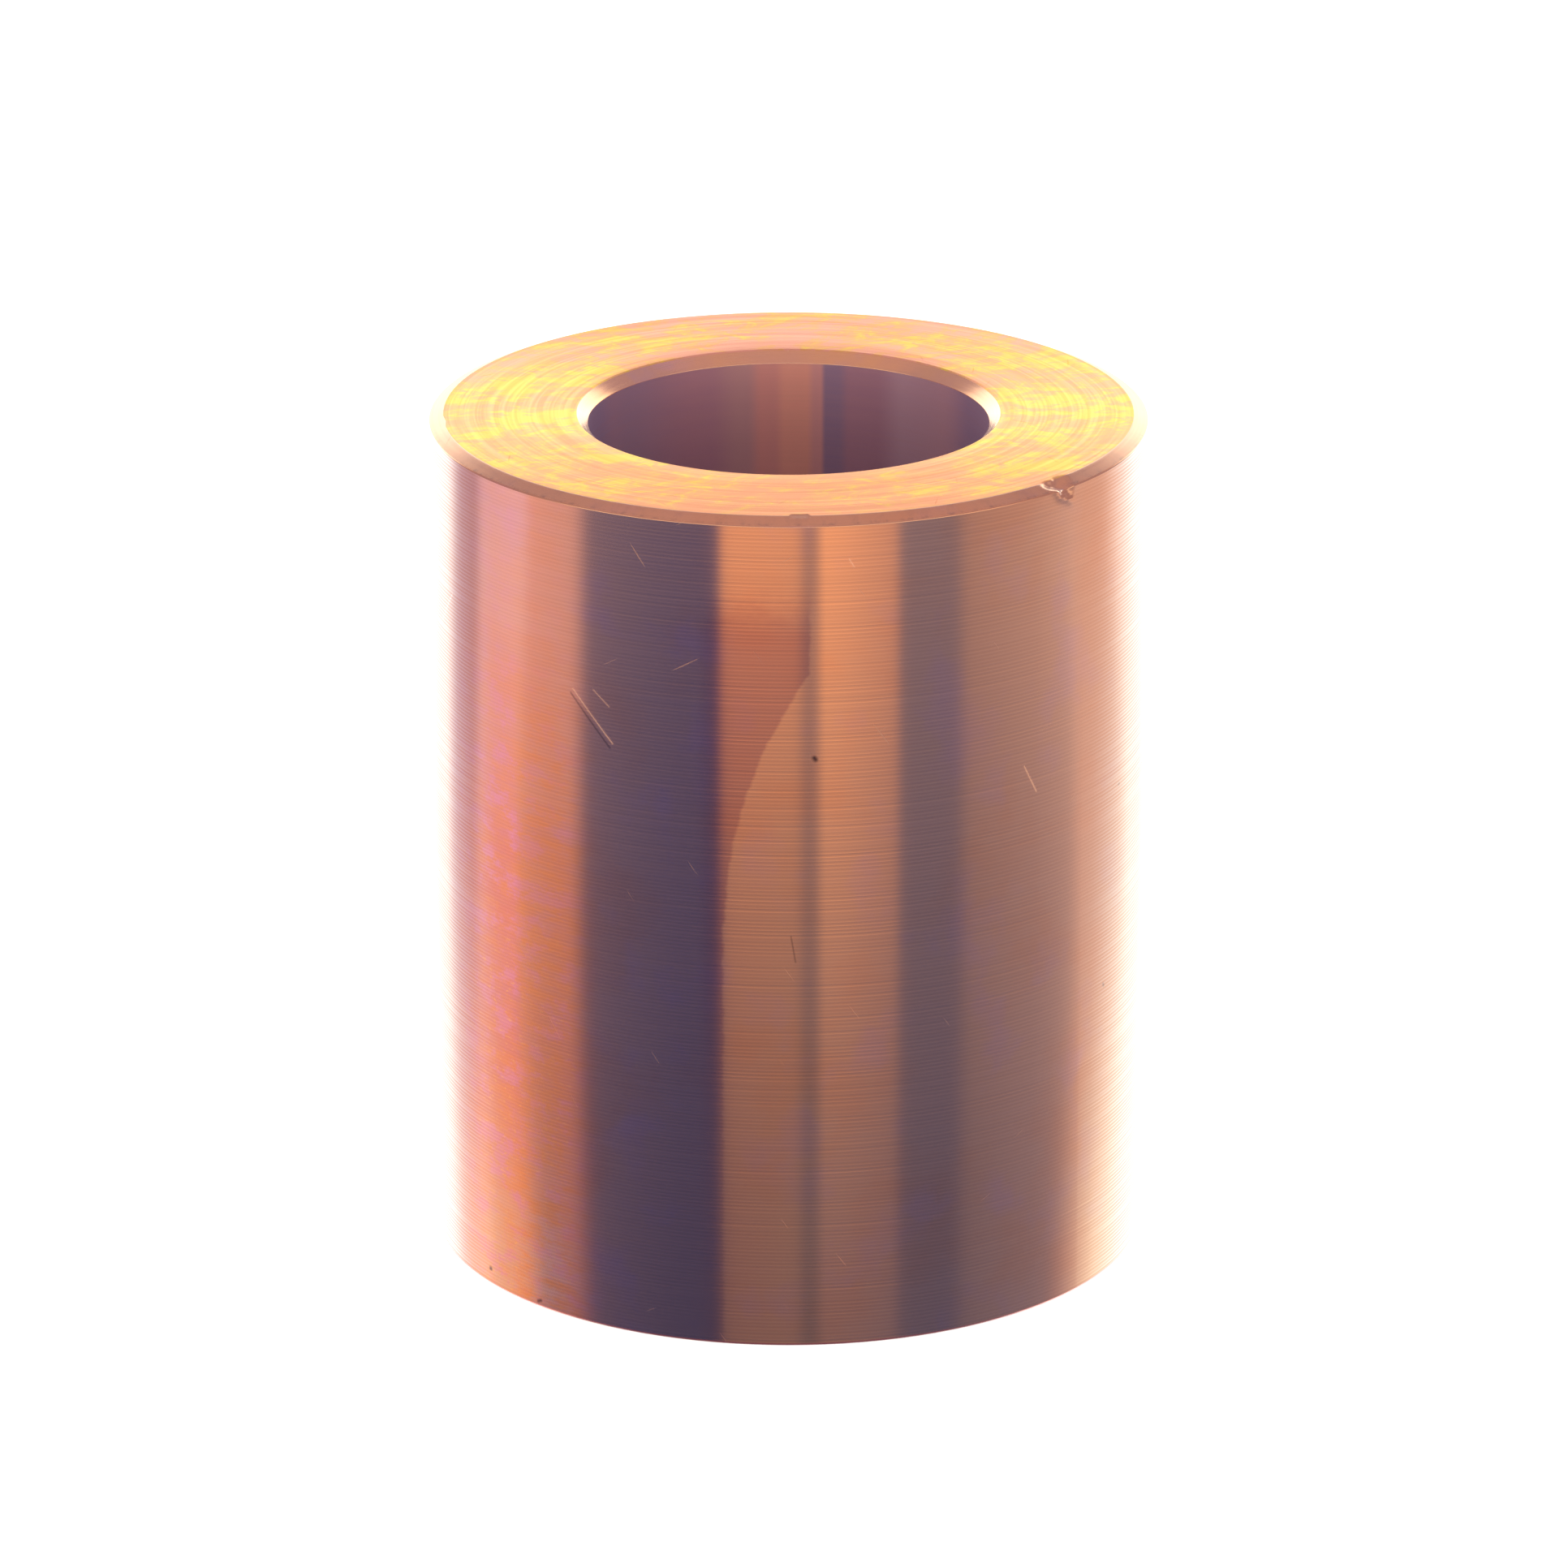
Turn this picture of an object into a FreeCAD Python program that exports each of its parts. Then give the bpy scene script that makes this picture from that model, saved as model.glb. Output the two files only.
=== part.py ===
"""Plain bronze sleeve bushing: one thick-walled ring turned from solid bar.

The sleeve stands on its plain end.  +Z runs up along the bore, and the origin is
on the bore axis in the plane of the lower end face.  All lengths are millimetres.
"""
import FreeCAD, Part
import math
import os

# Driving dimensions
OUTSIDE_DIAMETER = 46.0
BORE_DIAMETER = 25.6
LENGTH = 55.0

# Lead-in chamfer round the outside of the upper end: width across the face, depth along the axis
TOP_CHAMFER_WIDTH = 0.9
TOP_CHAMFER_DEPTH = 0.4

# Broken edge round the outside of the lower end, at 45 degrees
FOOT_EDGE_BREAK = 0.15

# Lead-in chamfer of the bore, the same at both ends
BORE_CHAMFER_WIDTH = 0.8
BORE_CHAMFER_DEPTH = 0.7

# Derived radii
OUTSIDE_RADIUS = OUTSIDE_DIAMETER / 2
BORE_RADIUS = BORE_DIAMETER / 2
BORE_MOUTH_RADIUS = BORE_RADIUS + BORE_CHAMFER_WIDTH
TOP_FACE_RADIUS = OUTSIDE_RADIUS - TOP_CHAMFER_WIDTH
FOOT_FACE_RADIUS = OUTSIDE_RADIUS - FOOT_EDGE_BREAK

AXIS_POINT = FreeCAD.Vector(0, 0, 0)
AXIS_DIRECTION = FreeCAD.Vector(0, 0, 1)
FULL_TURN = 360


def wall_section():
    """Return the wall's cross-section as a face in the XZ plane, anticlockwise from the foot."""
    outline = [
        (BORE_MOUTH_RADIUS, 0),
        (FOOT_FACE_RADIUS, 0),
        (OUTSIDE_RADIUS, FOOT_EDGE_BREAK),
        (OUTSIDE_RADIUS, LENGTH - TOP_CHAMFER_DEPTH),
        (TOP_FACE_RADIUS, LENGTH),
        (BORE_MOUTH_RADIUS, LENGTH),
        (BORE_RADIUS, LENGTH - BORE_CHAMFER_DEPTH),
        (BORE_RADIUS, BORE_CHAMFER_DEPTH),
    ]
    corners = [FreeCAD.Vector(radius, 0, height) for radius, height in outline]
    return Part.Face(Part.makePolygon(corners + corners[:1]))


def bushing_sleeve():
    """Return the sleeve: the wall section turned once round the bore axis."""
    return wall_section().revolve(AXIS_POINT, AXIS_DIRECTION, FULL_TURN)


def report_size(shape):
    """Print the finished size beside the volume of the plain ring, as a check on the turning."""
    box = shape.BoundBox
    plain_ring = math.pi * (OUTSIDE_RADIUS**2 - BORE_RADIUS**2) * LENGTH
    print(f"size {box.XLength:.3f} x {box.YLength:.3f} x {box.ZLength:.3f} mm, valid {shape.isValid()}")
    print(f"volume {shape.Volume:.1f} mm3, plain ring without chamfers {plain_ring:.1f} mm3")


os.makedirs("parts", exist_ok=True)
sleeve = bushing_sleeve()
sleeve.exportStep("parts/bushing_sleeve.step")
report_size(sleeve)
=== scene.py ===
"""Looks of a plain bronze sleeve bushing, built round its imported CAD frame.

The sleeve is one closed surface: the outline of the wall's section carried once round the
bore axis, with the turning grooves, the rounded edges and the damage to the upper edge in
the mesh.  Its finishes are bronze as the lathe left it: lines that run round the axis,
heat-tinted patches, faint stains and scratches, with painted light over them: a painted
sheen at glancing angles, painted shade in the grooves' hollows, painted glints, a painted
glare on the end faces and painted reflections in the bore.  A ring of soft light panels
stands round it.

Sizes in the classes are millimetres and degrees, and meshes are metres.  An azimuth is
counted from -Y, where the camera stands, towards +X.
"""

import logging
import math
from dataclasses import dataclass
from enum import Enum

import bpy
import numpy as np
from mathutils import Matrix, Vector

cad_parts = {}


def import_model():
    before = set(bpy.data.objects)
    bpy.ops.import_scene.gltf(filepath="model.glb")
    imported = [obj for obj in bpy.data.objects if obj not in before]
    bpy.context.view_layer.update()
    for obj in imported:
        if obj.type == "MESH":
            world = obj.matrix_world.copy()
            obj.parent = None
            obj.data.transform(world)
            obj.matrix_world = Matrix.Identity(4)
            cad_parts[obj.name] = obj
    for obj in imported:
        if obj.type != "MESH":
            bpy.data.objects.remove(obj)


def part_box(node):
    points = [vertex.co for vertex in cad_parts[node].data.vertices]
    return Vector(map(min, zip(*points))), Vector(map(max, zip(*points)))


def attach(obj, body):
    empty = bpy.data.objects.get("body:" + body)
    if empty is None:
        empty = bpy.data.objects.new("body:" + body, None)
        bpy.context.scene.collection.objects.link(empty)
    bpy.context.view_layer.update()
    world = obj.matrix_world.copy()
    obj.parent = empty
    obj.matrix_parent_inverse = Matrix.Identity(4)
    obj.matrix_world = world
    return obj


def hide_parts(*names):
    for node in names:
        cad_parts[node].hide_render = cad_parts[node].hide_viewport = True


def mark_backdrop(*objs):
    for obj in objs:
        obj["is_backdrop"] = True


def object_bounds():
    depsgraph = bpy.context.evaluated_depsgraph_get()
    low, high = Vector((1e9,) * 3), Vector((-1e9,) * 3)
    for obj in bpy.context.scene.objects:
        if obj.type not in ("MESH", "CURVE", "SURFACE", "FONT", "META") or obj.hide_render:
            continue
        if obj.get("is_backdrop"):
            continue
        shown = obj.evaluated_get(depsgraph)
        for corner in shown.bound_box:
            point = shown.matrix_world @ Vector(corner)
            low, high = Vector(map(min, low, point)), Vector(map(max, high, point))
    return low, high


LOG = logging.getLogger("sleeve_bushing")
MM = 0.001
BODY = "root"
CAD_NODE = "bushing_sleeve"
GRAIN_SEED = 23

FLOAT, VECTOR, COLOUR = "NodeSocketFloat", "NodeSocketVector", "NodeSocketColor"

Colour = tuple[float, float, float]
Value = float | int | tuple | bpy.types.NodeSocket


class Surface(Enum):
    """The turned surfaces of the sleeve, numbered as the mesh's material slots."""

    WALL = 0
    RIM = 1
    END_FACE = 2
    BORE_MOUTH = 3
    BORE = 4


def smoothstep(values: np.ndarray, low: float, high: float) -> np.ndarray:
    """Ease from 0 at low to 1 at high along 3t^2 - 2t^3, where t is the share of the way.

    Args:
        values: numbers to place between low and high.
        low: the value that gives 0.
        high: the value that gives 1; below low it turns the ease round.

    Returns:
        The eased share of each value.
    """
    share = np.clip((values - low) / (high - low), 0.0, 1.0)
    return share * share * (3.0 - 2.0 * share)


# ---------------------------------------------------------------- the sleeve's surface


@dataclass(frozen=True)
class SleeveSizes:
    """The sleeve's sizes: the outside ones from the CAD box, the rest as the CAD has them.

    The rounds are the distances from a corner of the section to where its rounding starts.
    """

    outside_radius: float
    length: float
    bore_radius: float = 12.8
    rim_width: float = 0.9
    rim_depth: float = 0.4
    foot_break: float = 0.15
    mouth_width: float = 0.8
    mouth_depth: float = 0.7
    edge_round: float = 0.07
    crisp_round: float = 0.04
    mouth_round: float = 0.1
    groove_pitch: float = 0.24
    groove_depth: float = 0.0018

    @classmethod
    def from_frame(cls) -> "SleeveSizes":
        """Read the outside sizes from the CAD node's box."""
        low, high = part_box(CAD_NODE)
        return cls(outside_radius=(high.x - low.x) / 2 / MM, length=(high.z - low.z) / MM)

    @property
    def mouth_radius(self) -> float:
        """Radius where the bore's chamfer meets an end face."""
        return self.bore_radius + self.mouth_width


@dataclass(frozen=True)
class Dent:
    """A small blow on the upper edge that pushed metal in and tore it a little.

    Inward and downward are the shares of the sinking that go each way.
    """

    azimuth: float = 48.7
    radius: float = 22.6
    height: float = 54.8
    half_width: float = 1.15
    half_height: float = 0.85
    half_reach: float = 0.85
    depth: float = 0.36
    lean: float = 0.28
    lip: float = 0.04
    wander: float = 0.20
    fine_wander: float = 0.08
    ripple: float = 0.14
    inward: float = 0.8
    downward: float = 0.65

    def push(
        self, azimuth: np.ndarray, radius: np.ndarray, height: np.ndarray
    ) -> tuple[np.ndarray, np.ndarray]:
        """Move radius and height of each point: in and down inside the dent, out on its lip.

        The dent is an ellipsoid round its centre with a wandering outline: q is the distance
        in its half sizes, lengthened by sines of the direction.  Metal sinks by the depth
        times a smooth step of q, more on the left, where the wall of the dent is steep, than
        on the right, where it runs out.  The lip is a low Gaussian ridge on the lower left.

        Args:
            azimuth: azimuth of each point, degrees.
            radius: radius of each point.
            height: height of each point.

        Returns:
            The changed radii and heights.
        """
        along = np.radians(azimuth - self.azimuth) * self.radius
        down = (self.height - height) + 0.6 * (radius - self.radius)
        reach = radius - self.radius
        spread = np.sqrt(
            (along / self.half_width) ** 2
            + ((height - self.height) / self.half_height) ** 2
            + (reach / self.half_reach) ** 2
        )
        direction = np.arctan2(down, along)
        wander = self.wander * np.sin(3.0 * direction + 0.8) + self.fine_wander * np.sin(5.0 * direction)
        spread = spread * (1.0 + wander)
        slope = np.clip(1.0 - self.lean * along / self.half_width, 0.3, 1.6)
        ripple = 1.0 + self.ripple * np.sin(4.5 * along + 2.0) * np.cos(3.5 * down + 2.0 * along)
        sink = self.depth * smoothstep(spread, 1.15, 0.1) * slope * ripple
        lip = self.lip * np.exp(-(((spread - 1.05) / 0.3) ** 2)) * smoothstep(down - along, 0.1, 1.2)
        return radius - self.inward * sink + lip, height - self.downward * sink


@dataclass(frozen=True)
class Chip:
    """A small flat chip off the edge between the upper face and its chamfer."""

    azimuth: float
    half_width: float
    depth: float

    def push(self, azimuth: np.ndarray, radius: np.ndarray, at_edge: np.ndarray) -> np.ndarray:
        """Pull the edge's points inwards over the chip, with steep ends.

        Args:
            azimuth: azimuth of each point, degrees.
            radius: radius of each point.
            at_edge: 1 on the edge, fading to 0 away from it.

        Returns:
            The changed radii.
        """
        off_centre = np.abs(azimuth - self.azimuth)
        inside = smoothstep(off_centre, self.half_width * 1.15, self.half_width * 0.85)
        return radius - self.depth * at_edge * inside


@dataclass(frozen=True)
class Stretch:
    """A straight stretch of the section: the corner that it starts at, its surface and its rows.

    Shares are the places of the rows along it, from 0 to 1.  Without them it is the grooved
    wall, whose rows follow the feed.
    """

    radius: float
    height: float
    corner_round: float
    surface: Surface
    shares: np.ndarray | None


class TurnedSleeve:
    """The sleeve as one closed mesh, made on a grid of section points and azimuths.

    A fine span is its two azimuths and its step.  Chip reach is the distances from the edge
    where a chip ends and where it is whole.  Unevenness is the least and greatest share of the
    grooves' depth, and breath is how much the depth changes once and three times a turn.
    """

    COARSE_STEP = 3.0
    FINE_SPANS = ((43.2, 53.4, 0.3), (-1.8, 5.4, 0.45))
    FACE_SHARES = np.concatenate([np.linspace(0.0, 0.14, 10), np.linspace(0.3, 1.0, 4)])
    CHIPS = (
        Chip(azimuth=1.8, half_width=1.55, depth=0.3),
        Chip(azimuth=-83.3, half_width=1.2, depth=0.12),
    )
    CHIP_REACH = (0.3, 0.08)
    UNEVENNESS = (0.6, 1.5)
    BREATH = (0.35, 0.25)

    def __init__(self, sizes: SleeveSizes) -> None:
        """Keep the sizes and the random source of the grooves' unevenness."""
        self.sizes = sizes
        self.random = np.random.default_rng(GRAIN_SEED)

    def azimuths(self) -> np.ndarray:
        """Return the grid's azimuths: evenly spaced, and closer together across the damage."""
        coarse = np.arange(-180.0, 180.0, self.COARSE_STEP)
        spans = [np.arange(low, high + step / 2, step) for low, high, step in self.FINE_SPANS]
        for low, high, step in self.FINE_SPANS:
            coarse = coarse[(coarse < low - step / 2) | (coarse > high + step / 2)]
        return np.unique(np.round(np.concatenate([coarse, *spans]), 4))

    @staticmethod
    def even_shares(count: int) -> np.ndarray:
        """Return places spread evenly along a stretch, with both its ends."""
        return np.linspace(0.0, 1.0, count)

    @staticmethod
    def rounded_corner(before: tuple, corner: tuple, after: tuple, size: float) -> np.ndarray:
        """Three section points that round a corner.

        They are the start, middle and end of a parabola that leaves each side of the corner
        at the given distance from it.

        Args:
            before: a section point before the corner, as radius and height.
            corner: the corner.
            after: a section point after the corner.
            size: distance from the corner to where the round starts.

        Returns:
            An array of three rows of radius and height.
        """
        middle = np.array(corner, float)
        ways = [np.array(point, float) - middle for point in (before, after)]
        start, end = [middle + size * way / np.linalg.norm(way) for way in ways]
        return np.array([start, (start + 2.0 * middle + end) / 4.0, end])

    def wall_rows(self, low: float, high: float) -> tuple[np.ndarray, np.ndarray]:
        """Rows of the grooved outside wall, a crest and a hollow for each turn of the feed.

        Args:
            low: height of the lowest crest.
            high: height of the highest crest.

        Returns:
            The rows as radius and height, and whether each row is a crest.
        """
        grooves = round((high - low) / self.sizes.groove_pitch)
        heights = np.linspace(low, high, 2 * grooves + 1)
        crest = np.arange(len(heights)) % 2 == 0
        depth = self.sizes.groove_depth * self.random.uniform(*self.UNEVENNESS, len(heights))
        radii = self.sizes.outside_radius - np.where(crest, 0.0, depth)
        return np.stack([radii, heights], axis=1), crest

    def section(self) -> tuple[np.ndarray, np.ndarray, np.ndarray]:
        """The closed outline of the wall's section, from the foot face round to the bore.

        Returns:
            The rows as radius and height, the surface that starts at each row, and whether
            each row is a groove's crest.
        """
        s = self.sizes
        foot_radius, rim_radius = s.outside_radius - s.foot_break, s.outside_radius - s.rim_width
        rim_foot, mouth_foot = s.length - s.rim_depth, s.length - s.mouth_depth
        stretches = [
            Stretch(s.mouth_radius, 0.0, s.edge_round, Surface.END_FACE, self.even_shares(8)),
            Stretch(foot_radius, 0.0, s.crisp_round, Surface.RIM, self.even_shares(2)),
            Stretch(s.outside_radius, s.foot_break, s.crisp_round, Surface.WALL, None),
            Stretch(s.outside_radius, rim_foot, s.edge_round, Surface.RIM, self.even_shares(9)),
            Stretch(rim_radius, s.length, s.edge_round, Surface.END_FACE, self.FACE_SHARES),
            Stretch(s.mouth_radius, s.length, s.mouth_round, Surface.BORE_MOUTH, self.even_shares(4)),
            Stretch(s.bore_radius, mouth_foot, s.crisp_round, Surface.BORE, self.even_shares(9)),
            Stretch(s.bore_radius, s.mouth_depth, s.edge_round, Surface.BORE_MOUTH, self.even_shares(3)),
        ]
        corners = [(stretch.radius, stretch.height) for stretch in stretches]
        bends = [
            self.rounded_corner(before, corner, after, stretch.corner_round)
            for before, corner, after, stretch in zip(
                corners[-1:] + corners[:-1], corners, corners[1:] + corners[:1], stretches
            )
        ]
        rows, surface_of, crests = [], [], []
        for stretch, bend, next_bend in zip(stretches, bends, bends[1:] + bends[:1]):
            start, end = bend[2], next_bend[0]
            if stretch.shares is None:
                line, crest = self.wall_rows(start[1], end[1])
            else:
                line = start + stretch.shares[:, None] * (end - start)
                crest = np.zeros(len(line), bool)
            rows += [line, next_bend[1:2]]
            surface_of += [stretch.surface.value] * (len(line) + 1)
            crests += [crest, np.zeros(1, bool)]
        return np.concatenate(rows), np.array(surface_of), np.concatenate(crests)

    def build(self) -> bpy.types.Object:
        """Make the mesh: every section row carried round every azimuth, then damaged.

        A point is (r sin a, -r cos a, z).  The hollows between crests breathe slowly round
        the axis, so that no two lines shade quite alike.

        Returns:
            The sleeve's object, at the origin.
        """
        s = self.sizes
        rows, surface_of, crest = self.section()
        azimuth, radius = np.meshgrid(self.azimuths(), rows[:, 0])
        height = np.repeat(rows[:, 1:2], azimuth.shape[1], axis=1)
        depth = s.outside_radius - radius
        hollow = (depth > 0) & (depth < 4 * s.groove_depth)
        angle = np.radians(azimuth)
        phase = self.random.uniform(0.0, 2.0 * np.pi, (len(rows), 2))
        slow, quick = self.BREATH
        breath = slow * np.sin(angle + phase[:, :1]) + quick * np.sin(3 * angle + phase[:, 1:])
        radius = radius - np.where(hollow, depth * breath, 0.0)
        edge_distance = np.hypot(radius - (s.outside_radius - s.rim_width), height - s.length)
        at_edge = smoothstep(edge_distance, *self.CHIP_REACH)
        for chip in self.CHIPS:
            radius = chip.push(azimuth, radius, at_edge)
        radius, height = Dent().push(azimuth, radius, height)
        height = np.clip(height, 0.0, s.length)
        points = np.stack([radius * np.sin(angle), -radius * np.cos(angle), height], axis=-1) * MM
        mesh = grid_mesh("turned_sleeve", points, wrap_rows=True)
        columns = azimuth.shape[1]
        mesh.polygons.foreach_set("material_index", np.repeat(surface_of, columns).astype(np.int32))
        mark_crests(mesh, crest, columns)
        hollows = np.clip(depth / s.groove_depth, 0.0, 1.0) * hollow
        groove = mesh.attributes.new("groove", "FLOAT", "POINT")
        groove.data.foreach_set("value", hollows.astype(np.float32).ravel())
        LOG.info("turned_sleeve: %d section rows, %d azimuths", *azimuth.shape)
        return link_object("turned_sleeve", mesh)


def grid_mesh(name: str, points: np.ndarray, wrap_rows: bool) -> bpy.types.Mesh:
    """Join a grid of points into quads that close round their columns.

    Args:
        name: the mesh's name.
        points: rows x columns x 3, in metres.  Columns run anticlockwise seen from above.
        wrap_rows: whether the last row joins the first one.

    Returns:
        The smooth-shaded mesh.
    """
    rows, columns = points.shape[:2]
    row = np.arange(rows if wrap_rows else rows - 1)[:, None]
    column = np.arange(columns)[None, :]
    next_row, next_column = (row + 1) % rows, (column + 1) % columns
    first, second = row * columns, next_row * columns
    corners = [first + column, first + next_column, second + next_column, second + column]
    quads = np.stack(corners, axis=-1).reshape(-1, 4)
    mesh = bpy.data.meshes.new(name)
    mesh.vertices.add(rows * columns)
    mesh.vertices.foreach_set("co", points.astype(np.float32).ravel())
    mesh.loops.add(quads.size)
    mesh.loops.foreach_set("vertex_index", quads.astype(np.int32).ravel())
    mesh.polygons.add(len(quads))
    mesh.polygons.foreach_set("loop_start", np.arange(0, quads.size, 4, dtype=np.int32))
    mesh.polygons.foreach_set("use_smooth", np.ones(len(quads), bool))
    mesh.update(calc_edges=True)
    return mesh


def mark_crests(mesh: bpy.types.Mesh, crest: np.ndarray, columns: int) -> None:
    """Mark the edges along groove crests sharp, so that each hollow shades as a round scoop.

    Args:
        mesh: the sleeve's mesh, whose vertices are numbered row by row.
        crest: whether each row is a crest.
        columns: points in a row.
    """
    ends = np.empty(len(mesh.edges) * 2, np.int32)
    mesh.edges.foreach_get("vertices", ends)
    row = ends.reshape(-1, 2) // columns
    sharp = (row[:, 0] == row[:, 1]) & crest[row[:, 0]]
    mesh.attributes.new("sharp_edge", "BOOLEAN", "EDGE").data.foreach_set("value", sharp)
    mesh.update()


def link_object(name: str, data: bpy.types.ID | None) -> bpy.types.Object:
    """Make an object for the data and link it to the scene."""
    made = bpy.data.objects.new(name, data)
    bpy.context.scene.collection.objects.link(made)
    return made


# ---------------------------------------------------------------- finishes


class Graph:
    """A node tree with short calls for the nodes that the finishes use."""

    def __init__(self, tree: bpy.types.NodeTree) -> None:
        """Keep the tree that the nodes go into."""
        self.tree = tree

    def put(self, socket: bpy.types.NodeSocket, value: Value) -> None:
        """Link a socket to another one, or set its own value."""
        if isinstance(value, bpy.types.NodeSocket):
            self.tree.links.new(value, socket)
        elif socket.type == "RGBA":
            socket.default_value = (*value[:3], 1.0)
        else:
            socket.default_value = value

    def node(
        self, kind: str, inputs: dict[str | int, Value] | None = None, **settings: object
    ) -> bpy.types.Node:
        """Add a node.

        Args:
            kind: Blender's name for the node's type.
            inputs: a value or socket for each input that isn't left alone.
            settings: the node's own settings.

        Returns:
            The node.
        """
        made = self.tree.nodes.new(kind)
        for name, setting in settings.items():
            setattr(made, name, setting)
        for name, value in (inputs or {}).items():
            self.put(made.inputs[name], value)
        return made

    def math(
        self, operation: str, first: Value, second: Value = 0.0, third: Value = 0.0
    ) -> bpy.types.NodeSocket:
        """Return the result of one Math node."""
        return self.node("ShaderNodeMath", {0: first, 1: second, 2: third}, operation=operation).outputs[0]

    def ease(self, value: Value, low: Value, high: Value) -> bpy.types.NodeSocket:
        """Return a smooth step of value from 0 at low to 1 at high."""
        inputs = {"Value": value, "From Min": low, "From Max": high}
        return self.node("ShaderNodeMapRange", inputs, interpolation_type="SMOOTHSTEP").outputs["Result"]

    def scaled(self, first: Value, second: Value) -> bpy.types.NodeSocket:
        """Return the product of two values."""
        return self.math("MULTIPLY", first, second)

    def line(self, value: Value, slope: Value, start: Value) -> bpy.types.NodeSocket:
        """Return start + slope x value."""
        return self.math("MULTIPLY_ADD", value, slope, start)

    def mix(self, share: Value, first: Value, second: Value, blend: str = "MIX") -> bpy.types.NodeSocket:
        """Mix two colours.

        Args:
            share: how much of the second colour there is, from 0 to 1.
            first: the colour underneath.
            second: the colour laid over it.
            blend: Blender's name for the way of mixing.

        Returns:
            The mixed colour.
        """
        made = self.node("ShaderNodeMix", data_type="RGBA", blend_type=blend)
        self.put(made.inputs[0], share)
        self.put(made.inputs[6], first)
        self.put(made.inputs[7], second)
        return made.outputs[2]

    def vector(self, x: Value, y: Value, z: Value = 0.0) -> bpy.types.NodeSocket:
        """Return a vector made of three values."""
        return self.node("ShaderNodeCombineXYZ", {"X": x, "Y": y, "Z": z}).outputs[0]

    def noise(
        self, place: Value, scale: Value, detail: float = 2.0, roughness: float = 0.5
    ) -> bpy.types.NodeSocket:
        """Return a noise value from 0 to 1 at a place."""
        inputs = {"Vector": place, "Scale": scale, "Detail": detail, "Roughness": roughness}
        return self.node("ShaderNodeTexNoise", inputs, noise_dimensions="3D").outputs[0]

    def use(self, group: bpy.types.NodeTree, inputs: dict[str, Value]) -> bpy.types.Node:
        """Place a node group with its own input values.

        Args:
            group: the group.
            inputs: a value or socket for each of its inputs.

        Returns:
            The node that stands for the group.
        """
        made = self.tree.nodes.new("ShaderNodeGroup")
        made.node_tree = group
        for name, value in inputs.items():
            self.put(made.inputs[name], value)
        return made


def new_group(
    name: str, inputs: dict[str, str], outputs: dict[str, str]
) -> tuple[bpy.types.NodeTree, Graph, dict, dict]:
    """Start a shader node group.

    Args:
        name: the group's name.
        inputs: the socket type of each input.
        outputs: the socket type of each output.

    Returns:
        The group, its graph, its inputs' sockets and its outputs' sockets, by name.
    """
    group = bpy.data.node_groups.new(name, "ShaderNodeTree")
    for direction, sockets in (("INPUT", inputs), ("OUTPUT", outputs)):
        for label, kind in sockets.items():
            group.interface.new_socket(label, in_out=direction, socket_type=kind)
    graph = Graph(group)
    source, sink = graph.node("NodeGroupInput"), graph.node("NodeGroupOutput")
    return group, graph, {n: source.outputs[n] for n in inputs}, {n: sink.inputs[n] for n in outputs}


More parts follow.
